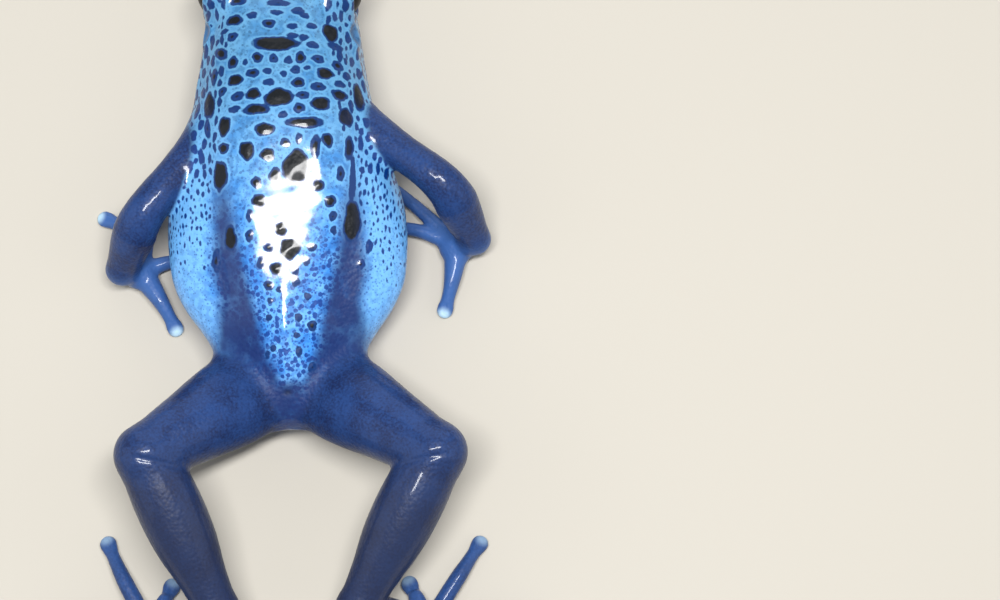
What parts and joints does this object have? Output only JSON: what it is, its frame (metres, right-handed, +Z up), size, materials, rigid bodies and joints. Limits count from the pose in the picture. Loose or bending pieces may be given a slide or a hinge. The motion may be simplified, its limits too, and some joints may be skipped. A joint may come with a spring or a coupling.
{
  "type": "blue poison dart frog",
  "caption": "Life-size still model of a blue poison dart frog lying belly down, hind legs spread and arms bent beside the body.",
  "frame": {"origin": "middle of the frog's footprint box, on the surface that it lies on", "axes": "+Y towards the snout, +X towards the frog's right, +Z up from belly to back"},
  "size_m": [0.0516, 0.0682, 0.0115],
  "materials": {
    "skin": "smooth wet amphibian skin, sky blue back with dark brown spots, dark blue limbs",
    "eye": "wet, nearly black eye with a clear cornea"
  },
  "bodies": {
    "root": {"head": "skin", "lower_jaw": "skin", "trunk": "skin", "rump": "skin", "upper_arm_left": "skin", "forearm_left": "skin", "hand_left": "skin", "finger_left_1": "skin", "finger_left_2": "skin", "finger_left_3": "skin", "finger_left_4": "skin", "thigh_left": "skin", "shank_left": "skin", "tarsus_left": "skin", "foot_left": "skin", "toe_left_1": "skin", "toe_left_2": "skin", "toe_left_3": "skin", "toe_left_4": "skin", "toe_left_5": "skin", "upper_arm_right": "skin", "forearm_right": "skin", "hand_right": "skin", "finger_right_1": "skin", "finger_right_2": "skin", "finger_right_3": "skin", "finger_right_4": "skin", "thigh_right": "skin", "shank_right": "skin", "tarsus_right": "skin", "foot_right": "skin", "toe_right_1": "skin", "toe_right_2": "skin", "toe_right_3": "skin", "toe_right_4": "skin", "toe_right_5": "skin", "eye_left": "eye", "eye_right": "eye"}
  },
  "joints": []
}
